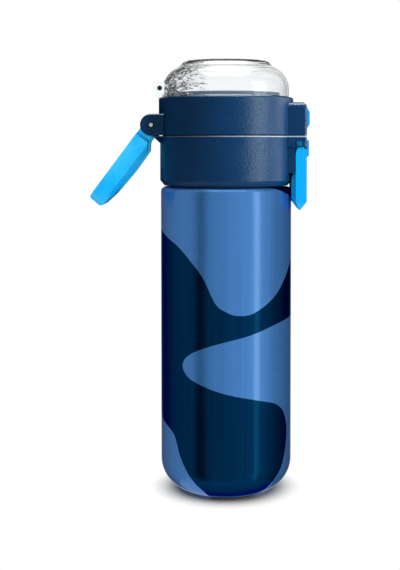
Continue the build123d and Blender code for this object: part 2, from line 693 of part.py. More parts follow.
def make_vent_valve():
    """Air valve: stem through the deck with a domed head above and a barb below."""
    low = deck_under - vent_head
    profile = outline([
        (vent_bore, low, 0), (vent_stem_r, low, 0), (vent_stem_r + vent_barb, deck_under - 2 * fit, 0),
        (vent_stem_r, deck_under - 2 * fit, 0), (vent_stem_r, deck_z, 0), (vent_head_r, deck_z, 0),
        (vent_head_r, deck_z + 0.5, 0.2), (vent_bore + 0.6, deck_z + vent_head, 0.4),
        (0, deck_z + vent_head, 0), (0, deck_z + 0.4, 0), (vent_bore, deck_z, 0)])
    return Pos(vent_x, 0, 0) * revolve(Plane.XZ * profile, Axis.Z)


def make_dome_seal():
    """Silicone ring under the dome's skirt."""
    outer, inner = dome_r - dome_step - 2 * fit, dome_bore - 2 * fit
    top = deck_z + seal_height
    return turned([(inner, deck_z, 0), (outer, deck_z, 0), (outer, top, 0.5), (inner, top, 0.5)])


def make_dome_ring():
    """Soft ring inside the dome: a flange in its skirt and a lip round the spout."""
    outer, flange_z = dome_bore - fit, lid_top - ring_drop
    return turned([
        (ring_r - ring_lip, flange_z, 0.4), (outer, flange_z, 0), (outer, flange_z + ring_flange, 0),
        (ring_r, flange_z + ring_flange, 0), (ring_r, lid_top + ring_rise, 0.5),
        (ring_r - ring_lip, lid_top + ring_rise, 0.5)])


def make_dome_bracket():
    """Clear bracket: foot in the rim, post and knuckle for the dome's pin."""
    outer = -(rim_bore + foot_thick + fit)
    inner = -(rim_bore + 0.1)
    foot = panel(outer, inner, lid_top - foot_depth, lid_top + 0.2)
    post = outline([(dome_hinge_x - post_foot, lid_top + 0.15, 0.4), (inner, lid_top + 0.15, 0),
                    (inner, dome_hinge_z, 0), (dome_hinge_x - post_head, dome_hinge_z, 0)])
    side = foot + post + disc(dome_hinge_x, dome_hinge_z, dome_knuckle_r)
    bracket = across(side, dome_knuckle_half)
    return bracket - crossbar(dome_hinge_x, dome_hinge_z, dome_pin_r + fit, dome_ear_outer)


def make_dome_pin():
    """Dark pin through the bracket's knuckle and the dome's ears."""
    return crossbar(dome_hinge_x, dome_hinge_z, dome_pin_r, dome_ear_outer)


def dome_profile(inset):
    """Half section of the dome's wall from its upright side to the axis, set in from its outer face."""
    side_r, arc_z = dome_r - inset, lid_top + dome_lift + dome_side
    centre_r, radius = dome_r - dome_shoulder, dome_shoulder - inset
    turn = math.radians(dome_shoulder_turn)
    crown_r = centre_r + dome_shoulder * math.cos(turn) - crown_in
    crown_z = arc_z + dome_shoulder * math.sin(turn) + crown_rise
    arc = [(centre_r + radius * math.cos(a), arc_z + radius * math.sin(a)) for a in (0, turn / 2, turn)]
    crown = [(crown_r - 0.45 * inset, crown_z - 0.9 * inset),
             (crown_r - bevel_in - 0.6 * inset, crown_z + bevel_rise - 0.95 * inset),
             (crown_r - bevel_in - brow_in - 0.45 * inset, crown_z + bevel_rise + brow_rise - inset),
             (0, crown_z + bevel_rise + brow_rise - inset)]
    return (side_r, arc_z), arc, crown


def make_dome_cover():
    """Clear dome: skirt inside the rim, shoulder, flat crown, two ears and the tongue."""
    skirt = dome_r - dome_step
    side_z = lid_top + dome_lift
    outer_start, outer_arc, outer_crown = dome_profile(0)
    inner_start, inner_arc, inner_crown = dome_profile(dome_wall)
    dome = revolve(Plane.XZ * make_face([
        Polyline((dome_bore, dome_low), (skirt, dome_low), (skirt, side_z - 0.3), (dome_r, side_z),
                 outer_start),
        ThreePointArc(*outer_arc),
        Polyline(outer_arc[-1], *outer_crown, *reversed(inner_crown), inner_arc[-1]),
        ThreePointArc(*inner_arc),
        Line(inner_start, (dome_bore, dome_low))]), Axis.Z)
    ear_root = -(dome_bore - 2 * root_bite)
    ear = disc(dome_hinge_x, dome_hinge_z, dome_ear_r)
    ear += panel(dome_hinge_x, ear_root, dome_hinge_z - dome_ear_r, dome_hinge_z + dome_ear_r)
    dome += pair(ear, dome_ear_inner, dome_ear_outer)
    dome -= crossbar(dome_hinge_x, dome_hinge_z, dome_knuckle_r + 0.5, dome_ear_inner)
    dome -= crossbar(dome_hinge_x, dome_hinge_z, dome_pin_r + pin_fit, dome_ear_outer + 1)
    back_x, tip_z = tongue_face - tongue_thick, deck_z - tongue_depth
    root_x, root_z = dome_bore + 2 * root_bite, dome_low + tongue_root
    tongue = outline([
        (back_x, tip_z, 0), (tongue_face, tip_z, 0.3), (tongue_face, dome_low + 0.2, 0),
        (root_x, dome_low + 0.2, 0), (root_x, root_z, 0), (back_x + tongue_hook, root_z, 0.8),
        (back_x + tongue_hook, tip_z + tongue_lip, 0), (back_x, tip_z + tongue_lip, 0)])
    return dome + across(tongue, tongue_half)


def make_release_button():
    """Push button: hollow cap with a bevelled lower edge and a sloped upper edge."""
    cap = across(outline([
        (button_back, button_z, 0), (block_r, button_z, 0), (button_face, button_z + button_bevel, 0.6),
        (button_face, button_top - button_bevel, 1.2), (block_r, button_top, 0.6),
        (button_back, button_top, 0)]), button_half)
    cap = fillet(cap.edges().filter_by(Axis.Z).group_by(Axis.X)[-1], 0.8)
    hollow = panel(button_back - 1, button_face - button_wall,
                   button_z + button_wall, button_top - button_wall)
    return cap - across(hollow, button_half - button_wall)


def make_button_spring():
    """Return spring between the pocket's floor and the cap."""
    low, high = pocket_x + 2 * fit, button_face - button_wall - 2 * fit
    wire_r = button_spring_wire / 2
    pitch = (high - low - 2 * wire_r) / button_spring_turns
    path = Helix(pitch, pitch * button_spring_turns, button_spring_r)
    wire = Plane(origin=path @ 0, z_dir=path % 0) * Circle(wire_r)
    coil = Rot(0, 90, 0) * sweep(wire, path, is_frenet=True)
    return Pos(low + wire_r, 0, (button_z + button_top) / 2) * coil


def make_dome_catch():
    """Catch behind the button: two prongs through the ring and the bar that holds the dome's tongue."""
    prong_end = button_face - button_wall
    high = catch_bar_z + catch_bar_height
    prongs = pair(panel(catch_bar_x, prong_end, catch_bar_z, high), prong_inner, prong_inner + prong_width)
    bar = across(panel(catch_bar_x, catch_bar_x + catch_bar, catch_bar_z, high), prong_inner + prong_width)
    return prongs + bar


os.makedirs("parts", exist_ok=True)
write("outer_shell", make_outer_shell(), LACQUER)
write("inner_flask", make_inner_flask(), STEEL)
write("base_cup", make_base_cup(), STEEL)
write("getter_pad", make_getter_pad(), STEEL)
write("vacuum_plug", make_vacuum_plug(), STEEL)
write("neck_gasket", make_neck_gasket(), SILICONE)
write("lid_collar", make_lid_collar(), NAVY)
write("thread_sleeve", make_thread_sleeve(), WHITE)
write("hinge_pin", make_hinge_pin(), STEEL)
write("latch_pin", make_latch_pin(), STEEL)
write("latch_spring", Compound(children=make_latch_spring()), STEEL)
write("carry_handle", make_carry_handle(), BLUE)
write("latch_lever", make_latch_lever(), BLUE)
write("flip_lid", make_flip_lid(), NAVY)
write("lid_liner", make_lid_liner(), WHITE)
write("lid_gasket", make_lid_gasket(), SILICONE)
write("spout", make_spout(), SILICONE)
write("vent_valve", make_vent_valve(), SILICONE)
write("dome_seal", make_dome_seal(), SILICONE)
write("dome_bracket", make_dome_bracket(), CLEAR)
write("dome_pin", make_dome_pin(), DARK)
write("dome_cover", make_dome_cover(), CLEAR)
write("dome_ring", make_dome_ring(), SILICONE)
write("release_button", make_release_button(), BLUE)
write("button_spring", make_button_spring(), STEEL)
write("dome_catch", make_dome_catch(), BLUE)
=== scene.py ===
import json
import math

import bmesh
import bpy
from bpy.props import FloatProperty, FloatVectorProperty, IntProperty, PointerProperty
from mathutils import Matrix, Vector
from mathutils.kdtree import KDTree


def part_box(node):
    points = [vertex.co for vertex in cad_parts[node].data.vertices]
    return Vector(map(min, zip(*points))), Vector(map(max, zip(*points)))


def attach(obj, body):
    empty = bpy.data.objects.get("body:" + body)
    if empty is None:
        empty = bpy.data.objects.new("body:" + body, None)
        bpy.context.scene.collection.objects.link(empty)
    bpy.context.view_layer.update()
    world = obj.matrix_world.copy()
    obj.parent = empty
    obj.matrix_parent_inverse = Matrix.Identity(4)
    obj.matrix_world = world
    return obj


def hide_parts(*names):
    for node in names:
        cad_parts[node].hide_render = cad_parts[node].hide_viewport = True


bl_info = {
    "name": "Flip Lid Drink Bottle",
    "version": (1, 0, 0),
    "blender": (4, 5, 0),
    "location": "View3D > Sidebar > Bottle",
    "description": "Insulated drink bottle: lacquered body, moulded lid, clear dome, loop and latch",
    "category": "Object",
}

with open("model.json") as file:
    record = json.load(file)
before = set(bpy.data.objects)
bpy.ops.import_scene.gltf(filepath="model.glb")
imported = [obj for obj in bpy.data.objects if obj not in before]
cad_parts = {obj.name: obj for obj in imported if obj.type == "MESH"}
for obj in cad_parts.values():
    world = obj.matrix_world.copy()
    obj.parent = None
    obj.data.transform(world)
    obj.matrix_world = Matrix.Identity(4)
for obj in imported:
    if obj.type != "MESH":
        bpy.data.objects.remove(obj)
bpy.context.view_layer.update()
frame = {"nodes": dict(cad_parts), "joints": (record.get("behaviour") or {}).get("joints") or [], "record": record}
MM = 0.001

MOUTH_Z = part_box("outer_shell")[1].z
COLLAR_LOW_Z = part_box("lid_collar")[0].z
BARREL = next(m for m in frame["record"]["mounts"] if m["name"] == "body_barrel")
BODY_R = BARREL["dims"]["r_mm"] * MM
SEAM_Z = 198.1 * MM  # seam between the collar and the flip lid
NAVY_NODES = ("flip_lid", "lid_collar")
BRIGHT_PIECES = ("soft_carry_loop", "soft_latch_lever", "soft_release_button")

WHITE = (1.0, 1.0, 1.0, 1.0)
NOISE_SPAN = (0.3, 0.7)  # where most of a noise texture's values lie
UNIT = (0.0, 1.0)


# ---------------------------------------------------------------- sizes and colours

class BodySizes(bpy.types.PropertyGroup):
    base_round: FloatProperty(name="Base round", description="Radius of the rounded corner round the base",
                              default=17.0 * MM, unit="LENGTH")
    foot_width: FloatProperty(name="Foot width", description="Ring that the bottle stands on",
                              default=2.5 * MM, unit="LENGTH")
    foot_rise: FloatProperty(name="Foot rise", description="Recess inside the foot ring",
                             default=2.0 * MM, unit="LENGTH")
    wall: FloatProperty(name="Wall", description="Outer steel wall", default=0.8 * MM, unit="LENGTH")
    shoulder_z: FloatProperty(name="Shoulder height", description="Height of the flat shoulder",
                              default=169.7 * MM, unit="LENGTH")
    shoulder_round: FloatProperty(name="Shoulder round", description="Radius of the shoulder's edge",
                                  default=2.8 * MM, unit="LENGTH")
    neck_r: FloatProperty(name="Neck radius", description="Outer radius of the neck",
                          default=31.0 * MM, unit="LENGTH")
    neck_root: FloatProperty(name="Neck root", description="Radius where the neck meets the shoulder",
                             default=1.2 * MM, unit="LENGTH")
    thread_starts: IntProperty(name="Thread starts", description="Ridges of the screw thread", default=2)
    thread_lead: FloatProperty(name="Thread lead", description="Rise of a ridge in one turn",
                               default=10.0 * MM, unit="LENGTH")
    thread_turns: FloatProperty(name="Thread turns", description="Length of each ridge in turns",
                                default=0.75)
    thread_height: FloatProperty(name="Thread height", description="Height of a ridge",
                                 default=1.3 * MM, unit="LENGTH")
    thread_width: FloatProperty(name="Thread width", description="Width of a ridge at its root",
                                default=2.2 * MM, unit="LENGTH")
    thread_rise: FloatProperty(name="Thread rise", description="First ridge above the shoulder",
                               default=6.3 * MM, unit="LENGTH")
    around: IntProperty(name="Segments", description="Segments round the body", default=192)


class BodyColours(bpy.types.PropertyGroup):
    light: FloatVectorProperty(name="Light blue", description="Lighter lacquer", subtype="COLOR",
                               default=(0.056, 0.222, 0.575))
    navy: FloatVectorProperty(name="Navy", description="Darker lacquer", subtype="COLOR",
                              default=(0.0008, 0.030, 0.094))
    steel: FloatVectorProperty(name="Bare steel", description="Neck under the lid, without lacquer",
                               subtype="COLOR", default=(0.60, 0.61, 0.63))
    wave_edge: FloatProperty(name="Wave edge", description="Softness of the line between the two colours",
                             default=0.12 * MM, unit="LENGTH")


class PlasticColours(bpy.types.PropertyGroup):
    navy: FloatVectorProperty(name="Navy", description="Collar and lid", subtype="COLOR",
                              default=(0.0004, 0.028, 0.093))
    bright: FloatVectorProperty(name="Bright blue", description="Loop, latch and button", subtype="COLOR",
                                default=(0.0, 0.45, 1.0))
    bright_glow: FloatVectorProperty(name="Bright blue, thin",
                                     description="Where light gets into the plastic",
                                     subtype="COLOR", default=(0.05, 0.60, 1.0))
    white: FloatVectorProperty(name="White", description="Liner and thread sleeve", subtype="COLOR",
                               default=(0.80, 0.81, 0.82))
    silicone: FloatVectorProperty(name="Silicone", description="Spout, valve and seals", subtype="COLOR",
                                  default=(0.74, 0.76, 0.78))
    ring: FloatVectorProperty(name="Dome ring", description="Soft ring inside the dome's foot",
                              subtype="COLOR", default=(0.16, 0.26, 0.40))
    # Colour of a painted highlight along the collar's upper edge.
    edge_highlight_colour: FloatVectorProperty(name="Painted edge highlight", description="Collar's upper edge, painted highlight",
                                subtype="COLOR", default=(0.30, 0.38, 0.46))
    dome: FloatVectorProperty(name="Dome", description="Clear dome", subtype="COLOR",
                              default=(0.97, 0.985, 0.99))


class EdgeSizes(bpy.types.PropertyGroup):
    loop_back: FloatProperty(name="Loop's outer edges", description="Rounding along the loop's outer face",
                             default=0.7 * MM, unit="LENGTH")
    loop_belly: FloatProperty(name="Loop's inner edges", description="Bevel along the loop's inner face",
                              default=2.6 * MM, unit="LENGTH")
    loop_edge: FloatProperty(name="Loop's edges", description="Rounding of the edges of the loop's faces",
                             default=0.35 * MM, unit="LENGTH")
    latch: FloatProperty(name="Latch edges", description="Rounding of the latch's edges",
                         default=0.35 * MM, unit="LENGTH")
    tip: FloatProperty(name="Latch tip", description="How far the lever's pointed tip slopes in",
                       default=1.4 * MM, unit="LENGTH")
    button: FloatProperty(name="Button edges", description="Rounding of the button's edges",
                          default=0.25 * MM, unit="LENGTH")


class StudioSetup(bpy.types.PropertyGroup):
    distance: FloatProperty(name="Distance", description="Camera to the bottle's axis", default=0.6111,
                            unit="LENGTH")
    eye_height: FloatProperty(name="Eye height", description="Camera above the table", default=0.1934,
                              unit="LENGTH")
    tilt: FloatProperty(name="Tilt", description="How far the camera looks down",
                        default=math.radians(2.339), subtype="ANGLE")
    lens: FloatProperty(name="Lens", description="Focal length in mm", default=68.84)
    shift_x: FloatProperty(name="Shift X", description="Sideways shift of the lens", default=-0.0457)
    shift_y: FloatProperty(name="Shift Y", description="Upward shift of the lens", default=-0.17)
    ambient: FloatProperty(name="Ambient", description="Strength of the even light", default=0.45)
    key: FloatProperty(name="Key", description="Power of the large lamp on the right", default=6.0)
    lid_light: FloatProperty(name="Lid light",
                             description="Power of the lamps that only the navy plastic sees", default=19.0)
    strip: FloatProperty(name="Strip light",
                         description="Power of the narrow lamp that only the lacquer sees", default=2.7)
    loop_light: FloatProperty(name="Loop light",
                              description="Power of the lamp that only the bright plastic sees", default=1.3)
    rim: FloatProperty(name="Rim light", description="Power of the lamp over the navy plastic's top edges",
                       default=30.0)
    top: FloatProperty(name="Top", description="Power of the lamp overhead", default=7.0)


# ---------------------------------------------------------------- mesh helpers

def new_piece(name, bm, material, body, *, smooth_angle=40.0, replaces=()):
    """Object at the origin from a finished bmesh, on its body and material."""
    mesh = bpy.data.meshes.new(name)
    bm.to_mesh(mesh)
    bm.free()
    mesh.polygons.foreach_set("use_smooth", [True] * len(mesh.polygons))
    mesh.set_sharp_from_angle(angle=math.radians(smooth_angle))
    mesh.materials.append(material)
    piece = bpy.data.objects.new(name, mesh)
    bpy.context.scene.collection.objects.link(piece)
    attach(piece, body)
    if replaces:
        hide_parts(*replaces)
    return piece


def dress(node, material):
    """Gives a CAD node its finished material."""
    for slot in frame["nodes"][node].material_slots:
        slot.material = material


def arc(centre_r, centre_z, radius, start, end, steps):
    """Points of an arc in a half section, angles in degrees from +r towards +z."""
    angles = [math.radians(start + (end - start) * i / steps) for i in range(steps + 1)]
    return [(centre_r + radius * math.cos(a), centre_z + radius * math.sin(a)) for a in angles]


def spun(bm, section, segments):
    """Spins a closed half section of (radius, height) points round the Z axis."""
    verts = [bm.verts.new((r, 0.0, z)) for r, z in section]
    edges = [bm.edges.new(pair) for pair in zip(verts, verts[1:] + verts[:1])]
    bmesh.ops.spin(bm, geom=verts + edges, cent=(0, 0, 0), axis=(0, 0, 1), angle=2 * math.pi,
                   steps=segments, use_merge=True)
    bmesh.ops.remove_doubles(bm, verts=bm.verts, dist=1e-7)


# ---------------------------------------------------------------- shader helpers

class Tree:
    """A node tree being built, with short ways to add the nodes that the finishes and the stage use."""

    def __init__(self, tree):
        self.nodes, self.links = tree.nodes, tree.links

    def put(self, socket, value):
        """Feeds a socket from another one, or sets it to a plain value."""
        if isinstance(value, bpy.types.NodeSocket):
            self.links.new(value, socket)
        else:
            socket.default_value = value

    def add(self, kind, **inputs):
        """Node with its named inputs fed or set."""
        node = self.nodes.new("ShaderNode" + kind)
        for name, value in inputs.items():
            self.put(node.inputs[name.replace("_", " ")], value)
        return node

    def math(self, operation, a, b):
        """Sum, product or other operation on sockets or plain numbers."""
        node = self.add("Math")
        node.operation = operation
        self.put(node.inputs[0], a)
        self.put(node.inputs[1], b)
        return node.outputs[0]

    def mix(self, factor, a, b, blend="MIX"):
        """Colour mix fed by sockets or plain colours."""
        node = self.add("Mix")
        node.data_type = "RGBA"
        node.blend_type = blend
        self.put(node.inputs[0], factor)
        for socket, value in ((node.inputs[6], a), (node.inputs[7], b)):
            self.put(socket, value if isinstance(value, bpy.types.NodeSocket) else (*value[:3], 1.0))
        return node.outputs[2]

    def range(self, value, low, high, to_low=0.0, to_high=1.0):
        """Value moved from one span to another, and kept within it."""
        return self.add("MapRange", Value=value, From_Min=low, From_Max=high, To_Min=to_low,
                        To_Max=to_high).outputs[0]

    def noise(self, vector, scale, detail, roughness=0.5):
        """Noise texture's value."""
        return self.add("TexNoise", Vector=vector, Scale=scale, Detail=detail,
                        Roughness=roughness).outputs[0]

    def placed(self, vector, scale, turn=(0, 0, 0)):
        """Coordinates stretched and turned."""
        return self.add("Mapping", Vector=vector, Scale=scale, Rotation=turn).outputs[0]


def shared_effect(name, sizes, outputs):
    """Node group with a vector input, named sizes and outputs; gives its tree, start, end and group."""
    group = bpy.data.node_groups.new(name, "ShaderNodeTree")
    group.interface.new_socket("Vector", in_out="INPUT", socket_type="NodeSocketVector")
    for size_name, default in sizes.items():
        socket = group.interface.new_socket(size_name, in_out="INPUT", socket_type="NodeSocketFloat")
        socket.default_value = default
    for output in outputs:
        group.interface.new_socket(output, in_out="OUTPUT", socket_type="NodeSocketFloat")
    start = group.nodes.new("NodeGroupInput").outputs
    return Tree(group), start, group.nodes.new("NodeGroupOutput").inputs, group


def grain_group():
    """Spark-eroded mould grain: height for a bump, and a mask of its pits."""
    tree, start, end, group = shared_effect("mould_grain", {"Size": 2400.0}, ["Height", "Pits"])
    fine = tree.noise(start["Vector"], start["Size"], detail=3.0, roughness=0.65)
    pits_per_grain, pit_span, pit_depth = 0.55, (0.15, 0.75), 0.5
    pit_size = tree.math("MULTIPLY", start["Size"], pits_per_grain)
    pits = tree.add("TexVoronoi", Vector=start["Vector"], Scale=pit_size)
    pit_mask = tree.range(pits.outputs["Distance"], *pit_span)
    deep = tree.math("MULTIPLY", pit_mask, pit_depth)
    tree.put(end["Height"], tree.math("ADD", fine, deep))
    tree.put(end["Pits"], pit_mask)
    return group


def brush_group():
    """Brushing of a turned steel part: fine lines along the given vector's X and Y, broken along them."""
    tree, start, end, group = shared_effect("brushed_lines", {"Lines": 1800.0, "Stretch": 0.03}, ["Lines"])
    parts = tree.add("SeparateXYZ", Vector=start["Vector"]).outputs
    along = tree.math("MULTIPLY", start["Lines"], start["Stretch"])
    stretched = {axis: tree.math("MULTIPLY", parts[axis], factor)
                 for axis, factor in (("X", along), ("Y", along), ("Z", start["Lines"]))}
    joined = tree.add("CombineXYZ", **stretched).outputs[0]
    tree.put(end["Lines"], tree.noise(joined, scale=1.0, detail=3.0, roughness=0.6))
    return group


def marks_group():
    """Slight uneven handling marks: a slow patchy value round 0.5."""
    tree, start, end, group = shared_effect("handling_marks", {"Size": 40.0}, ["Marks"])
    tree.put(end["Marks"], tree.noise(start["Vector"], start["Size"], detail=5.0))
    return group


class Finish(Tree):
    """A material being built: its Principled shader and the object's own coordinates."""

    def __init__(self, name):
        self.material = bpy.data.materials.new(name)
        self.material.use_nodes = True
        super().__init__(self.material.node_tree)
        self.shader = self.nodes["Principled BSDF"]
        self.vector = self.add("TexCoord").outputs["Object"]

    def plain(self, **values):
        """Plain numbers and colours on the shader's own sockets."""
        for name, value in values.items():
            self.shader.inputs[name.replace("_", " ")].default_value = value

    def feed(self, socket, output):
        """A changing value on one of the shader's sockets."""
        self.links.new(output, self.shader.inputs[socket])

    def group(self, tree, **sizes):
        """A shared effect fed with this piece's coordinates."""
        node = self.nodes.new("ShaderNodeGroup")
        node.node_tree = tree
        for name, value in {"Vector": self.vector, **sizes}.items():
            self.put(node.inputs[name], value)
        return node

    def bump(self, height, strength, distance):
        """Bump of a height over a distance in metres."""
        node = self.add("Bump", Height=height, Strength=strength, Distance=distance)
        self.feed("Normal", node.outputs[0])

    def height_and_side(self):
        """The object's own height and its place from the hinge's side towards the latch."""
        place = self.add("SeparateXYZ", Vector=self.vector)
        return place.outputs["Z"], place.outputs["X"]

    def marks(self, size):
        """Slow patchy handling marks."""
        return self.group(effect("marks"), Size=size).outputs["Marks"]


EFFECTS = {}
FINISHES = {}


def effect(name):
    """Shared node group, built once."""
    if name not in EFFECTS:
        EFFECTS[name] = {"grain": grain_group, "brush": brush_group, "marks": marks_group}[name]()
    return EFFECTS[name]


def scaled(colour, factor):
    """Lighter or darker colour."""
    return tuple(min(1.0, c * factor) for c in colour)


def lacquer_finish():
    """Two-tone metallic lacquer; the wave attribute is the distance to the line between the colours."""
    colours = bpy.context.scene.bottle_body_colours
    finish = Finish("metallic_lacquer")
    height, _ = finish.height_and_side()
    wave = finish.add("Attribute")
    wave.attribute_name = "wave"
    edge = colours.wave_edge / MM
    mask = finish.range(wave.outputs["Fac"], -edge, edge)
    lines = finish.group(effect("brush"), Lines=1500.0, Stretch=0.02).outputs["Lines"]
    marks = finish.marks(26.0)

    upright = finish.placed(finish.vector, scale=(1.0, 1.0, 0.015))
    streaks = finish.noise(upright, scale=420.0, detail=3.0, roughness=0.6)
    streaks = finish.range(streaks, *NOISE_SPAN)
    light = finish.mix(streaks, scaled(colours.light, 0.93), scaled(colours.light, 1.07))
    navy = finish.mix(streaks, scaled(colours.navy, 0.85), scaled(colours.navy, 1.15))

    # Painted shade: the navy grows darker towards the bottom of the base's round, standing in for a darker
    # reflection there.
    base_low, base_high, base_shade = 1.0 * MM, 14.0 * MM, 0.75
    base = finish.range(height, base_low, base_high, base_shade, 0.0)
    navy = finish.mix(base, navy, scaled(colours.navy, 0.2))
    colour = finish.mix(mask, light, navy)
    bare_from, bare_to = COLLAR_LOW_Z + 0.3 * MM, COLLAR_LOW_Z + 0.7 * MM
    bare = finish.range(height, bare_from, bare_to)
    colour = finish.mix(bare, colour, colours.steel)
    tone = finish.range(lines, 0.25, 0.75, 0.94, 1.06)
    grey = finish.add("CombineColor", Red=tone, Green=tone, Blue=tone).outputs[0]
    finish.feed("Base Color", finish.mix(1.0, colour, grey, "MULTIPLY"))

    brushed = finish.range(lines, 0.2, 0.8, 0.28, 0.34)
    handled = finish.range(marks, *NOISE_SPAN, -0.015, 0.015)
    glossier_navy = finish.range(mask, *UNIT, 0.0, -0.10)
    gloss = finish.math("ADD", brushed, handled)
    finish.feed("Roughness", finish.math("ADD", gloss, glossier_navy))
    metal = finish.math("MAXIMUM", mask, bare)
    finish.feed("Coat Weight", finish.range(metal, *UNIT, 0.42, 0.0))
    finish.feed("Metallic", finish.range(metal, *UNIT, 0.70, 1.0))
    finish.plain(Anisotropic=0.8, Anisotropic_Rotation=0.25, Specular_Tint=(0.12, 0.38, 0.72, 1.0),
                 Coat_Roughness=0.08, Coat_IOR=1.5)
    finish.bump(lines, strength=0.05, distance=0.05 * MM)
    return finish.material


def painted_edge_highlight_mask(finish):
    """Mask of a painted highlight along the collar's upper edge, stronger towards the latch."""
    height, side = finish.height_and_side()
    start = finish.range(height, SEAM_Z - 1.3 * MM, SEAM_Z - 1.0 * MM)
    stop = finish.range(height, SEAM_Z - 0.55 * MM, SEAM_Z - 0.45 * MM, 1.0, 0.0)
    near_latch = finish.range(side, -24 * MM, 16 * MM, 0.25, 1.0)
    return finish.math("MULTIPLY", finish.math("MULTIPLY", start, stop), near_latch)


def plastic_finish(name, colour, glow, *, patches, roughness, grain, strength, specular,
                   tint=WHITE[:3], edge_highlight_colour=None):
    """Moulded plastic with spark-eroded grain and uneven gloss; the last argument, if given, is the colour of a
    painted highlight along the collar's upper edge.
    """
    finish = Finish(name)
    grain_node = finish.group(effect("grain"), Size=grain)
    patch = finish.range(finish.marks(patches), 0.38, 0.66)
    body = finish.mix(patch, scaled(colour, 0.94), glow)
    # The grain's pits are made a little darker.
    pit_darkening = finish.range(grain_node.outputs["Pits"], *UNIT, 0.0, 0.12)
    body = finish.mix(pit_darkening, body, scaled(colour, 0.7))
    if edge_highlight_colour is not None:
        # Painted highlight along the collar's upper edge.
        body = finish.mix(painted_edge_highlight_mask(finish), body, edge_highlight_colour)
    finish.feed("Base Color", body)
    grained = finish.range(grain_node.outputs["Height"], 0.2, 1.2, roughness - 0.05, roughness + 0.05)
    handled = finish.range(finish.marks(60.0), *NOISE_SPAN, -0.02, 0.02)
    finish.feed("Roughness", finish.math("ADD", grained, handled))
    finish.plain(Specular_IOR_Level=specular, IOR=1.5, Specular_Tint=(*tint, 1.0))
    finish.bump(grain_node.outputs["Height"], strength, distance=0.25 * MM)
    return finish.material


def navy_finish():
    colours = bpy.context.scene.bottle_plastics
    # The navy plastic gets a painted highlight along the collar's upper edge.
    return plastic_finish("navy_grained_plastic", colours.navy, scaled(colours.navy, 1.08), patches=60.0,
                          roughness=0.34, grain=1700.0, strength=0.45, specular=0.26,
                          tint=(0.82, 1.0, 0.95), edge_highlight_colour=colours.edge_highlight_colour)


def bright_finish():
    colours = bpy.context.scene.bottle_plastics
    return plastic_finish("bright_blue_plastic", colours.bright, colours.bright_glow, patches=45.0,
                          roughness=0.36, grain=2600.0, strength=0.12, specular=0.14)


def white_finish():
    colour = bpy.context.scene.bottle_plastics.white
    return plastic_finish("white_plastic", colour, scaled(colour, 1.02), patches=60.0, roughness=0.42,
                          grain=2200.0, strength=0.15, specular=0.5)


def silicone_finish(name, colour):
    """Soft translucent silicone."""
    finish = Finish(name)
    marks = finish.marks(90.0)
    patch = finish.range(marks, *NOISE_SPAN)
    finish.feed("Base Color", finish.mix(patch, scaled(colour, 0.95), scaled(colour, 1.03)))
    finish.feed("Roughness", finish.range(marks, *NOISE_SPAN, 0.5, 0.6))
    finish.plain(Subsurface_Weight=0.25, Subsurface_Scale=2.0 * MM, Sheen_Weight=0.15, Sheen_Roughness=0.5)
    return finish.material


def steel_finish(name, colour, *, roughness, lines, anisotropy):
    """Turned or drawn steel."""
    finish = Finish(name)
    brush = finish.group(effect("brush"), Lines=lines, Stretch=0.03).outputs["Lines"]
    patch = finish.range(finish.marks(70.0), *NOISE_SPAN)
    finish.feed("Base Color", finish.mix(patch, scaled(colour, 0.93), colour))
    finish.feed("Roughness", finish.range(brush, 0.2, 0.8, roughness - 0.06, roughness + 0.06))
    finish.plain(Metallic=1.0, Anisotropic=anisotropy)
    finish.bump(brush, strength=0.12, distance=0.05 * MM)
    return finish.material


def dome_finish():
    """Clear moulded plastic with flow marks that run out from its hinge and fade across it."""
    colour = bpy.context.scene.bottle_plastics.dome
    finish = Finish("clear_dome_plastic")
    marks = finish.marks(45.0)
    patch = finish.range(marks, *NOISE_SPAN)
    finish.feed("Base Color", finish.mix(patch, scaled(colour, 0.99), colour))
    finish.feed("Roughness", finish.range(marks, *NOISE_SPAN, 0.0, 0.02))
    finish.plain(Transmission_Weight=1.0, IOR=1.49)
    _, side = finish.height_and_side()
    near_hinge = finish.range(side, -28 * MM, -6 * MM, 1.0, 0.0)
    past_ear = finish.range(side, -34 * MM, -31 * MM)
    flow = finish.placed(finish.vector, scale=(0.30, 0.30, 1.0), turn=(0, math.radians(16), 0))
    ridges = finish.noise(flow, scale=420.0, detail=2.0, roughness=0.6)
    ridges = finish.range(ridges, 0.52, 0.72)
    ridges = finish.math("MULTIPLY", ridges, finish.math("MULTIPLY", near_hinge, past_ear))
    ripple = finish.range(marks, *UNIT, 0.0, 0.05)
    finish.bump(finish.math("ADD", ridges, ripple), strength=0.8, distance=0.9 * MM)
    return finish.material


def finish_for(name):
    """Material by finish name, built once."""
    plastics = bpy.context.scene.bottle_plastics
    makers = {
        "lacquer": lacquer_finish, "navy": navy_finish, "bright": bright_finish, "white": white_finish,
        "dome": dome_finish,
        "silicone": lambda: silicone_finish("silicone_rubber", plastics.silicone),
        "ring": lambda: silicone_finish("grey_blue_silicone", plastics.ring),
        "steel": lambda: steel_finish("drawn_steel", (0.62, 0.63, 0.65), roughness=0.26, lines=2200.0,
                                      anisotropy=0.6),
        "pin": lambda: steel_finish("pin_steel", (0.66, 0.66, 0.66), roughness=0.3, lines=5200.0,
                                    anisotropy=0.2),
        "dark_pin": lambda: steel_finish("blackened_steel", (0.035, 0.036, 0.04), roughness=0.35,
                                         lines=5200.0, anisotropy=0.2),
    }
    if name not in FINISHES:
        FINISHES[name] = makers[name]()
    return FINISHES[name]


# ---------------------------------------------------------------- the two-tone wave

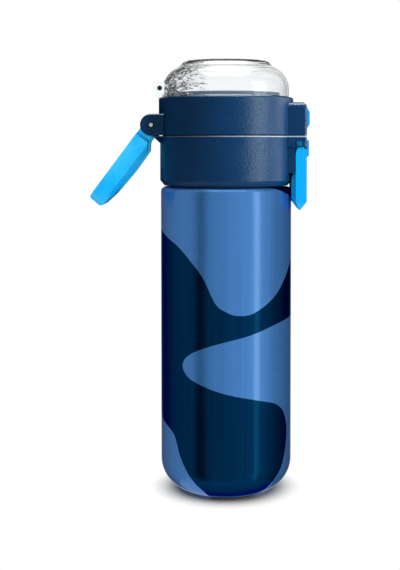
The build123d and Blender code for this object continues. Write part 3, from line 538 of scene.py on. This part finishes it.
# Lines where the light blue meets the navy: degrees round from the front towards the latch, and mm up.
WAVE_HOLLOW = [(-84, 147), (-60, 142), (-44, 137.5), (-29, 129), (-19, 121), (-9, 108.5), (0, 104),
               (10, 102), (24, 103), (47, 111.5), (70, 125), (88, 134), (110, 150), (140, 158),
               (180, 152), (225, 156), (276, 147)]
WAVE_TONGUE = [(124, 78), (104, 93), (81, 97.5), (50, 96), (20, 91), (0, 88), (-20, 84), (-34, 79.5),
               (-40, 74), (-34, 68), (-20, 64), (0, 60), (30, 55.5), (48, 52), (60, 46), (66, 37),
               (64, 27), (57, 17.5), (47, 9), (37, -4), (60, -14), (112, -10), (130, 14), (136, 46)]
WAVE_FOOT = [(-95, 46), (-75, 41), (-52, 35.5), (-43.5, 24.5), (-36, 17), (-28, 10), (-20.5, 2),
             (-34, -12), (-180, -12), (-180, 22), (-150, 42), (-115, 48)]
# Navy patch on the shoulder under the collar's latch side: partly the lacquer's navy and partly a painted shadow
# under the collar and latch.
WAVE_SHOULDER_AND_SHADE = [(34, 173), (41, 170), (51, 168.5), (63, 166.3), (90, 162.3), (115, 160), (150, 168),
                 (160, 177), (100, 179)]


def smooth_loop(points, closed, steps=10):
    """Catmull-Rom line through the points."""
    count = len(points)
    line = []
    for i in range(count if closed else count - 1):
        if closed:
            a, b, c, d = [Vector(points[(i + k) % count]) for k in (-1, 0, 1, 2)]
        else:
            a, b, c, d = [Vector(points[min(max(i + k, 0), count - 1)]) for k in (-1, 0, 1, 2)]
        for step in range(steps):
            t = step / steps
            bend = (2 * a - 5 * b + 4 * c - d) * t * t
            twist = (3 * b - a - 3 * c + d) * t ** 3
            line.append(0.5 * ((2 * b) + (c - a) * t + bend + twist))
    if not closed:
        line.append(Vector(points[-1]))
    return line


def to_segment(point, a, b):
    """Distance from a point to a segment."""
    span = b - a
    t = max(0.0, min(1.0, (point - a).dot(span) / max(span.length_squared, 1e-12)))
    return (point - a - t * span).length


class WaveLine:
    """A line between the two colours on the unrolled wall, in mm round it and mm up it."""

    TURNS = (-1, 0, 1)  # copies of the line one turn back, in place and one turn on
    NEAREST = 4  # pieces of the line that are measured for one point

    def __init__(self, points, closed):
        around = math.radians(1.0) * BODY_R / MM
        self.turn = 360.0 * around
        line = smooth_loop([(angle * around, height) for angle, height in points], closed)
        self.pieces = list(zip(line, line[1:] + line[:1] if closed else line[1:]))
        copies = len(self.TURNS)
        self.tree = KDTree(copies * len(self.pieces))
        for index, (a, b) in enumerate(self.pieces):
            middle = (a + b) / 2
            for copy, turns in enumerate(self.TURNS):
                self.tree.insert((middle.x + turns * self.turn, middle.y, 0.0), copies * index + copy)
        self.tree.balance()
        self.columns = {}

    def distance(self, across, height):
        """Distance to the line, over the wall's seam too."""
        best = self.turn
        for _, found, _ in self.tree.find_n((across, height, 0.0), self.NEAREST):
            index, copy = divmod(found, len(self.TURNS))
            point = Vector((across - self.TURNS[copy] * self.turn, height))
            best = min(best, to_segment(point, *self.pieces[index]))
        return best

    def crossings(self, across):
        """Heights at which the line crosses a column of the wall."""
        if across not in self.columns:
            heights = []
            for a, b in self.pieces:
                for turns in self.TURNS:
                    place = across - turns * self.turn
                    if (a.x > place) != (b.x > place):
                        heights.append(a.y + (b.y - a.y) * (place - a.x) / (b.x - a.x))
            self.columns[across] = sorted(heights)
        return self.columns[across]

    def signed(self, across, height):
        """Distance, above zero below the line or within it."""
        above = sum(1 for crossing in self.crossings(across) if crossing > height)
        return self.distance(across, height) * (1 if above % 2 else -1)


# ---------------------------------------------------------------- pieces

class BOTTLE_OT_body(bpy.types.Operator):
    """Lacquered outer shell: foot ring, rounded base, tall wall, shoulder and threaded neck"""

    bl_idname = "bottle.body"
    bl_label = "Body"

    def execute(self, context):
        size = context.scene.bottle_body
        wall, root = size.wall, size.neck_root
        foot_r = BODY_R - size.base_round - size.foot_width
        recess_top = size.foot_rise + wall
        corner = (BODY_R - size.base_round, size.base_round)
        shoulder = (BODY_R - size.shoulder_round, size.shoulder_z - size.shoulder_round)
        neck = (size.neck_r + root, size.shoulder_z + root)
        rows = 100
        straight = size.shoulder_z - size.shoulder_round - size.base_round

        section = [(foot_r, 0.0), (foot_r + size.foot_width, 0.0)]
        section += arc(*corner, size.base_round, -90, 0, 18)[1:]
        section += [(BODY_R, size.base_round + straight * i / rows) for i in range(1, rows)]
        section += arc(*shoulder, size.shoulder_round, 0, 90, 8)
        section += arc(*neck, root, 270, 180, 5)
        section += [(size.neck_r, MOUTH_Z), (size.neck_r - wall, MOUTH_Z)]
        section += arc(*neck, root + wall, 180, 270, 5)
        section += arc(*shoulder, size.shoulder_round - wall, 90, 0, 5)
        section += arc(*corner, size.base_round - wall, 0, -90, 12)
        section += [(foot_r + wall, wall), (foot_r + wall, recess_top), (foot_r, recess_top)]
        bm = bmesh.new()
        spun(bm, section, size.around)
        self.add_thread(bm, size)
        bmesh.ops.recalc_face_normals(bm, faces=bm.faces)
        shell = new_piece("lacquered_shell", bm, finish_for("lacquer"), "bottle",
                          smooth_angle=50.0, replaces=["outer_shell"])
        self.mark_wave(shell.data)
        return {"FINISHED"}

    @staticmethod
    def add_thread(bm, size):
        """Ridges wound round the neck, tapered at both ends."""
        steps, taper = 54, 12.0
        root_r = size.neck_r - 0.3 * MM
        root_half = size.thread_width / 2
        crest_half = root_half * 0.45
        for start in range(size.thread_starts):
            offset = 2 * math.pi * start / size.thread_starts
            rings = []
            for i in range(steps + 1):
                turn = size.thread_turns * i / steps
                fade = min(1.0, taper * min(i, steps - i) / steps)
                angle = offset + 2 * math.pi * turn
                z = size.shoulder_z + size.thread_rise + size.thread_lead * turn
                crest_r = size.neck_r + size.thread_height * fade
                ridge = ((root_r, -root_half), (crest_r, -crest_half), (crest_r, crest_half),
                         (root_r, root_half))
                ring = [bm.verts.new((r * math.cos(angle), r * math.sin(angle), z + dz)) for r, dz in ridge]
                rings.append([bm.edges.new(pair) for pair in zip(ring, ring[1:] + ring[:1])])
            for low, high in zip(rings, rings[1:]):
                bmesh.ops.bridge_loops(bm, edges=low + high)
            bmesh.ops.contextual_create(bm, geom=rings[0])
            bmesh.ops.contextual_create(bm, geom=rings[-1])

    @staticmethod
    def mark_wave(mesh):
        """Stores each point's distance to the colours' line."""
        # The shoulder's patch is partly navy lacquer and partly painted shadow under the collar's latch side.
        hollow, shoulder = WaveLine(WAVE_HOLLOW, False), WaveLine(WAVE_SHOULDER_AND_SHADE, True)
        islands = [WaveLine(points, True) for points in (WAVE_TONGUE, WAVE_FOOT)]
        attribute = mesh.attributes.new("wave", "FLOAT", "POINT")
        seen = {}
        for index, vertex in enumerate(mesh.vertices):
            x, y, z = vertex.co
            key = (round(math.degrees(math.atan2(x, -y)), 2), round(z / MM, 2))
            if key not in seen:
                place = (math.radians(key[0]) * BODY_R / MM, key[1])
                navy = min([hollow.signed(*place)] + [-island.signed(*place) for island in islands])
                seen[key] = max(navy, shoulder.signed(*place))
            attribute.data[index].value = seen[key]


class BOTTLE_OT_flask(bpy.types.Operator):
    """Steel liner, bottom plate and what is between the walls"""

    bl_idname = "bottle.flask"
    bl_label = "Flask and base"

    def execute(self, context):
        for node in ("inner_flask", "base_cup", "getter_pad", "vacuum_plug"):
            dress(node, finish_for("steel"))
        return {"FINISHED"}


class BOTTLE_OT_collar(bpy.types.Operator):
    """Collar and lid in grained navy plastic, with the white sleeve and liner inside"""

    bl_idname = "bottle.collar"
    bl_label = "Collar and lid"

    def execute(self, context):
        for node in NAVY_NODES:
            dress(node, finish_for("navy"))
        for node in ("thread_sleeve", "lid_liner"):
            dress(node, finish_for("white"))
        return {"FINISHED"}


class BOTTLE_OT_seals(bpy.types.Operator):
    """Silicone spout, valve and rings"""

    bl_idname = "bottle.seals"
    bl_label = "Spout and seals"

    def execute(self, context):
        for node in ("neck_gasket", "lid_gasket", "spout", "vent_valve", "dome_seal"):
            dress(node, finish_for("silicone"))
        return {"FINISHED"}


class BOTTLE_OT_pins(bpy.types.Operator):
    """Pins and springs"""

    bl_idname = "bottle.pins"
    bl_label = "Pins and springs"

    def execute(self, context):
        for node in ("hinge_pin", "latch_pin", "latch_spring", "button_spring"):
            dress(node, finish_for("pin"))
        dress("dome_pin", finish_for("dark_pin"))
        return {"FINISHED"}


def bevel_sharp(bm, width, angle=35.0):
    """Rounds the edges whose faces meet at more than the angle."""
    limit = math.radians(angle)
    edges = [edge for edge in bm.edges if len(edge.link_faces) == 2 and edge.calc_face_angle(0.0) > limit]
    bmesh.ops.bevel(bm, geom=edges, offset=width, offset_type="OFFSET", segments=2, profile=0.5,
                    affect="EDGES", material=-1, clamp_overlap=True)


def blue_piece(name, bm, body, smooth_angle, node):
    """Bright plastic piece in a CAD node's place, with even shading over its rounded edges."""
    bmesh.ops.recalc_face_normals(bm, faces=bm.faces)
    piece = new_piece(name, bm, finish_for("bright"), body, smooth_angle=smooth_angle,
                      replaces=[node])
    even = piece.modifiers.new("Even shading", "WEIGHTED_NORMAL")
    even.keep_sharp = True


def merged_copy(node):
    """CAD node's mesh with its loose triangles joined and its flat faces made whole."""
    weld, flat = 0.002 * MM, math.radians(0.6)
    bm = bmesh.new()
    bm.from_mesh(frame["nodes"][node].data)
    bmesh.ops.remove_doubles(bm, verts=bm.verts, dist=weld)
    bmesh.ops.dissolve_limit(bm, angle_limit=flat, verts=bm.verts, edges=bm.edges)
    return bm


def cut_corner(bm, place, normal):
    """Cuts off what lies beyond a plane and closes the cut."""
    geom = list(bm.verts) + list(bm.edges) + list(bm.faces)
    cut = bmesh.ops.bisect_plane(bm, geom=geom, dist=1e-7, plane_co=place, plane_no=normal,
                                 clear_outer=True)
    rim = [item for item in cut["geom_cut"] if isinstance(item, bmesh.types.BMEdge)]
    bmesh.ops.contextual_create(bm, geom=rim)


class BOTTLE_OT_loop(bpy.types.Operator):
    """Carry loop with a wide bevel along its inner face, a narrow one outside and rounded edges"""

    bl_idname = "bottle.loop"
    bl_label = "Carry loop"

    def execute(self, context):
        sizes = context.scene.bottle_edges
        joint = next(j for j in frame["joints"] if j["name"] == "loop_swing")
        pivot = Vector(joint["pos_m"])
        low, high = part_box("carry_handle")
        along = (Vector((low.x, 0, low.z)) - pivot).normalized()
        inward = Vector((-along.z, 0, along.x))
        past_arms = 20 * MM
        bm = merged_copy("carry_handle")
        spots = [vert.co - pivot for vert in bm.verts]
        belly = max(spot.dot(inward) for spot in spots)
        back = min(spot.dot(inward) for spot in spots if spot.dot(along) > past_arms)
        reach = max(spot.dot(along) for spot in spots)
        wide, deep = sizes.loop_belly, 0.8 * sizes.loop_belly
        for side in (-1, 1):
            edge = pivot + Vector((0, side * high.y, 0))
            outward = Vector((0, side, 0))
            cut_corner(bm, edge + inward * (belly - wide), inward * deep + outward * wide)
            cut_corner(bm, edge + inward * (back + sizes.loop_back), outward - inward)
            cut_corner(bm, edge + along * (reach - wide), along * deep + outward * wide)
        bevel_sharp(bm, sizes.loop_edge, angle=20.0)
        blue_piece("soft_carry_loop", bm, "loop", 30.0, "carry_handle")
        return {"FINISHED"}


class BOTTLE_OT_latch(bpy.types.Operator):
    """Latch lever, release button and its catch, with softened edges"""

    bl_idname = "bottle.latch"
    bl_label = "Latch and button"

    def execute(self, context):
        sizes = context.scene.bottle_edges
        self.soften("soft_latch_lever", "latch_lever", "latch", sizes.latch, sizes.tip)
        self.soften("soft_release_button", "release_button", "button", sizes.button)
        dress("dome_catch", finish_for("bright"))
        return {"FINISHED"}

    @staticmethod
    def soften(name, node, body, width, tip=0.0):
        """CAD node's copy with its edges rounded and its lower tip sloped in on both sides."""
        bm = merged_copy(node)
        low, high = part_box(node)
        steep = 4
        if tip:
            for side in (-1, 1):
                foot = Vector((0, side * high.y, low.z + steep * tip))
                cut_corner(bm, foot, Vector((0, steep * side, -1)))
        bevel_sharp(bm, width)
        blue_piece(name, bm, body, 32.0, node)


class BOTTLE_OT_dome(bpy.types.Operator):
    """Clear dome, its bracket and the soft ring in its foot"""

    bl_idname = "bottle.dome"
    bl_label = "Dome"

    def execute(self, context):
        for node in ("dome_cover", "dome_bracket"):
            dress(node, finish_for("dome"))
        dress("dome_ring", finish_for("ring"))
        return {"FINISHED"}


# ---------------------------------------------------------------- studio

def round_stage(degrees, distance, height):
    """Place on the stage, by degrees from the camera's side towards the latch."""
    turn = math.radians(degrees)
    return (distance * math.sin(turn), -distance * math.cos(turn), height)


def only_on(name, objects):
    """Collection of the objects that a lamp is kept to."""
    collection = bpy.data.collections.new(name)
    for member in objects:
        collection.objects.link(member)
    return collection


def studio_lamp(name, place, aim, width, height, power, receivers=None):
    """Soft rectangular lamp aimed at a point, and kept to its receivers where it has them."""
    data = bpy.data.lights.new(name, "AREA")
    data.shape = "RECTANGLE"
    data.size, data.size_y = width, height
    data.energy = power
    lamp = bpy.data.objects.new(name, data)
    lamp.location = place
    lamp.rotation_euler = (Vector(aim) - Vector(place)).to_track_quat("-Z", "Y").to_euler()
    lamp.visible_camera = False
    bpy.context.scene.collection.objects.link(lamp)
    if receivers is not None:
        lamp.light_linking.receiver_collection = receivers
    return lamp


# Brightness round the stage, by degrees from the camera's side towards the latch: as reflections see
# it, and as the clear dome refracts it.
TENT = [(-180, 0.80), (-166, 0.80), (-160, 0.10), (-138, 0.26), (-107, 0.54), (-69, 0.62), (-60, 0.58),
        (-49, 0.12), (-41, 0.12), (-30, 0.56), (0, 0.66), (30, 0.84), (58, 0.88), (76, 0.64), (95, 0.36),
        (133, 0.12), (160, 0.08), (166, 0.80), (180, 0.80)]
DOME_VIEW = [(-180, 1.06), (-171, 1.06), (-166, 0.02), (-60, 0.02), (-40, 0.8), (60, 0.9), (90, 0.7),
             (146, 0.5), (158, 1.06), (180, 1.06)]


def level_round(tree, turn, levels):
    """Brightness read from a list of degrees and levels."""
    ramp = tree.add("FloatCurve", Value=turn)
    points = ramp.mapping.curves[0].points
    brightest = max(level for _, level in levels)
    while len(points) < len(levels):
        points.new(0.5, 0.5)
    for point, (angle, level) in zip(points, levels):
        point.location = ((angle + 180) / 360, level / brightest)
        point.handle_type = "VECTOR"
    ramp.mapping.update()
    return tree.math("MULTIPLY", ramp.outputs[0], brightest)


def stage_piece(name, bm, material):
    """Piece of the stage from a finished bmesh."""
    mesh = bpy.data.meshes.new(name)
    bm.to_mesh(mesh)
    bm.free()
    mesh.materials.append(material)
    piece = bpy.data.objects.new(name, mesh)
    bpy.context.scene.collection.objects.link(piece)
    return piece


def stage_material(name):
    """Material for the stage and its tree."""
    material = bpy.data.materials.new(name)
    material.use_nodes = True
    return material, Tree(material.node_tree)


def make_tent(radius, low, high):
    """Upright tent that only reflections and the clear dome see; its brightness changes round it."""
    bm = bmesh.new()
    bmesh.ops.create_circle(bm, segments=128, radius=radius)
    bmesh.ops.translate(bm, vec=(0, 0, low), verts=bm.verts)
    wall = bmesh.ops.extrude_edge_only(bm, edges=bm.edges)["geom"]
    top = [item for item in wall if isinstance(item, bmesh.types.BMVert)]
    bmesh.ops.translate(bm, vec=(0, 0, high - low), verts=top)
    material, tree = stage_material("tent_cloth")
    tree.nodes.clear()
    place = tree.add("SeparateXYZ", Vector=tree.add("TexCoord").outputs["Object"])
    front = tree.math("MULTIPLY", place.outputs["Y"], -1.0)
    turn = tree.range(tree.math("ARCTAN2", place.outputs["X"], front), -math.pi, math.pi)
    reflected = level_round(tree, turn, TENT)
    refracted = level_round(tree, turn, DOME_VIEW)
    change = tree.math("SUBTRACT", refracted, reflected)
    change = tree.math("MULTIPLY", tree.add("LightPath").outputs["Is Transmission Ray"], change)
    glow = tree.add("Emission", Color=WHITE, Strength=tree.math("ADD", reflected, change))
    tree.add("OutputMaterial", Surface=glow.outputs[0])
    tent = stage_piece("studio_tent", bm, material)
    tent.visible_camera = False
    tent.visible_diffuse = False
    tent.visible_shadow = False
    moulded = [frame["nodes"][node] for node in NAVY_NODES]
    moulded += [bpy.data.objects[name] for name in BRIGHT_PIECES]
    plastics = only_on("moulded_plastics", moulded)
    for member in plastics.collection_objects:
        member.light_linking.link_state = "EXCLUDE"
    tent.light_linking.receiver_collection = plastics


def backdrop_share(tree, glossy=1.0):
    """1 for the camera and for what shows through the dome, a part for reflections, 0 for plain light."""
    path = tree.add("LightPath").outputs
    shine = tree.math("MULTIPLY", path["Is Glossy Ray"], glossy)
    share = tree.math("MAXIMUM", path["Is Camera Ray"], shine)
    return tree.math("MAXIMUM", share, path["Is Transmission Ray"])


class BOTTLE_OT_stage(bpy.types.Operator):
    """Pale floor, white backdrop, soft lamps, a tent of light and the camera"""

    bl_idname = "bottle.stage"
    bl_label = "Studio"

    def execute(self, context):
        setup = context.scene.bottle_studio
        self.make_world(context, setup)
        self.make_floor()
        self.make_lamps(setup)
        make_tent(radius=1.3, low=-1.2, high=1.9)
        self.make_camera(context, setup)
        context.scene.view_settings.view_transform = "Standard"
        return {"FINISHED"}

    @staticmethod
    def make_world(context, setup):
        """Even light, with white behind the stage."""
        world = bpy.data.worlds.new("studio_world")
        world.use_nodes = True
        context.scene.world = world
        tree = Tree(world.node_tree)
        background = tree.nodes["Background"].inputs
        background["Color"].default_value = WHITE
        tree.put(background["Strength"], tree.range(backdrop_share(tree), *UNIT, setup.ambient, 1.0))

    @staticmethod
    def make_floor():
        """Round table top that keeps the bottle's shadow near it, darkened round the base by a painted shadow, and
        fades into the backdrop.
        """
        near, far, fade_near, fade_far = 30 * MM, 46 * MM, 27 * MM, 42 * MM
        # Painted shadow: the floor's colour darkens from pale to these greys towards the bottle's base.
        painted_shadow, pale = (0.46, 0.42, 0.37), 0.92
        bm = bmesh.new()
        bmesh.ops.create_circle(bm, cap_ends=True, cap_tris=True, segments=96, radius=6.0)
        material, tree = stage_material("pale_floor")
        shader = tree.nodes["Principled BSDF"]
        shader.inputs["Roughness"].default_value = 0.9
        shader.inputs["Specular IOR Level"].default_value = 0.1
        spot = tree.add("VectorMath")
        spot.operation = "LENGTH"
        tree.put(spot.inputs[0], tree.add("TexCoord").outputs["Object"])
        away = spot.outputs["Value"]
        fade = tree.range(away, fade_near, fade_far)
        share = tree.math("MULTIPLY", fade, backdrop_share(tree, glossy=0.25))
        grey = tree.add("CombineColor")
        for socket, dark in zip(grey.inputs[:3], painted_shadow):
            tree.put(socket, tree.range(away, near, far, dark, pale))
        tree.put(shader.inputs["Base Color"], grey.outputs[0])
        blend = tree.add("MixShader")
        white = tree.add("Emission", Color=WHITE)
        for socket, source in zip(blend.inputs, (share, shader.outputs[0], white.outputs[0])):
            tree.put(socket, source)
        tree.put(tree.nodes["Material Output"].inputs["Surface"], blend.outputs[0])
        floor = stage_piece("studio_floor", bm, material)
        floor.visible_glossy = False

    @staticmethod
    def make_lamps(setup):
        """Key and top lamps for the whole bottle, and lamps that one kind of finish sees."""
        aim = (0.0, 0.0, 0.12)
        moulded = only_on("moulded_navy", [frame["nodes"][node] for node in NAVY_NODES])
        bright = only_on("moulded_bright", [bpy.data.objects[name] for name in BRIGHT_PIECES])
        lacquered = only_on("lacquered_shell", [bpy.data.objects["lacquered_shell"]])
        key = studio_lamp("key_lamp", round_stage(66, 1.1, 0.35), aim, 0.55, 0.9, setup.key)
        key.visible_glossy = False
        sheens = (("lid_lamp", 58, 0.16, 0.70), ("lid_side_lamp", 110, 0.60, 0.36))
        for name, degrees, width, share in sheens:
            studio_lamp(name, round_stage(degrees, 1.1, 0.35), aim, width, 0.9, share * setup.lid_light,
                        receivers=moulded)
        rim = studio_lamp("rim_lamp", (0.0, -0.25, 1.2), (0.0, 0.0, 0.22), 0.5, 0.5, setup.rim,
                          receivers=moulded)
        rim.visible_diffuse = False
        studio_lamp("loop_lamp", (-0.32, -0.45, 0.32), (-0.05, 0.0, 0.18), 0.35, 0.35, setup.loop_light,
                    receivers=bright)
        strip = studio_lamp("strip_lamp", round_stage(54.5, 1.2, 0.10), aim, 0.21, 2.0, setup.strip,
                            receivers=lacquered)
        strip.data.color = (1.0, 0.62, 0.40)
        studio_lamp("top_lamp", (0.0, -0.1, 1.2), (0.0, 0.0, 0.0), 1.0, 1.0, setup.top)

    @staticmethod
    def make_camera(context, setup):
        """Camera a little below the lid's seam, looking slightly down."""
        data = bpy.data.cameras.new("view_camera")
        data.sensor_width = 36.0
        data.lens = setup.lens
        data.shift_x = setup.shift_x
        data.shift_y = setup.shift_y
        camera = bpy.data.objects.new("view_camera", data)
        camera.location = (0.0, -setup.distance, setup.eye_height)
        camera.rotation_euler = (math.radians(90) - setup.tilt, 0.0, 0.0)
        context.scene.collection.objects.link(camera)
        context.scene.camera = camera


class BOTTLE_PT_panel(bpy.types.Panel):
    """Buttons for each part of the bottle"""

    bl_idname = "BOTTLE_PT_panel"
    bl_label = "Drink Bottle"
    bl_space_type = "VIEW_3D"
    bl_region_type = "UI"
    bl_category = "Bottle"

    def draw(self, context):
        for operator in OPERATORS:
            self.layout.operator(operator.bl_idname)
        for name, group in GROUPS.items():
            box = self.layout.box()
            for key in group.__annotations__:
                box.prop(getattr(context.scene, name), key)


OPERATORS = (BOTTLE_OT_body, BOTTLE_OT_flask, BOTTLE_OT_collar, BOTTLE_OT_seals, BOTTLE_OT_pins,
             BOTTLE_OT_loop, BOTTLE_OT_latch, BOTTLE_OT_dome, BOTTLE_OT_stage)
GROUPS = {"bottle_body": BodySizes, "bottle_body_colours": BodyColours, "bottle_plastics": PlasticColours,
          "bottle_edges": EdgeSizes, "bottle_studio": StudioSetup}


def register():
    for name, group in GROUPS.items():
        bpy.utils.register_class(group)
        setattr(bpy.types.Scene, name, PointerProperty(type=group))
    for operator in OPERATORS:
        bpy.utils.register_class(operator)
    bpy.utils.register_class(BOTTLE_PT_panel)


def unregister():
    bpy.utils.unregister_class(BOTTLE_PT_panel)
    for operator in reversed(OPERATORS):
        bpy.utils.unregister_class(operator)
    for name, group in GROUPS.items():
        delattr(bpy.types.Scene, name)
        bpy.utils.unregister_class(group)


def main():
    register()
    bpy.ops.bottle.body()
    bpy.ops.bottle.flask()
    bpy.ops.bottle.collar()
    bpy.ops.bottle.seals()
    bpy.ops.bottle.pins()
    bpy.ops.bottle.loop()
    bpy.ops.bottle.latch()
    bpy.ops.bottle.dome()
    bpy.ops.bottle.stage()


if __name__ == "__main__":
    main()
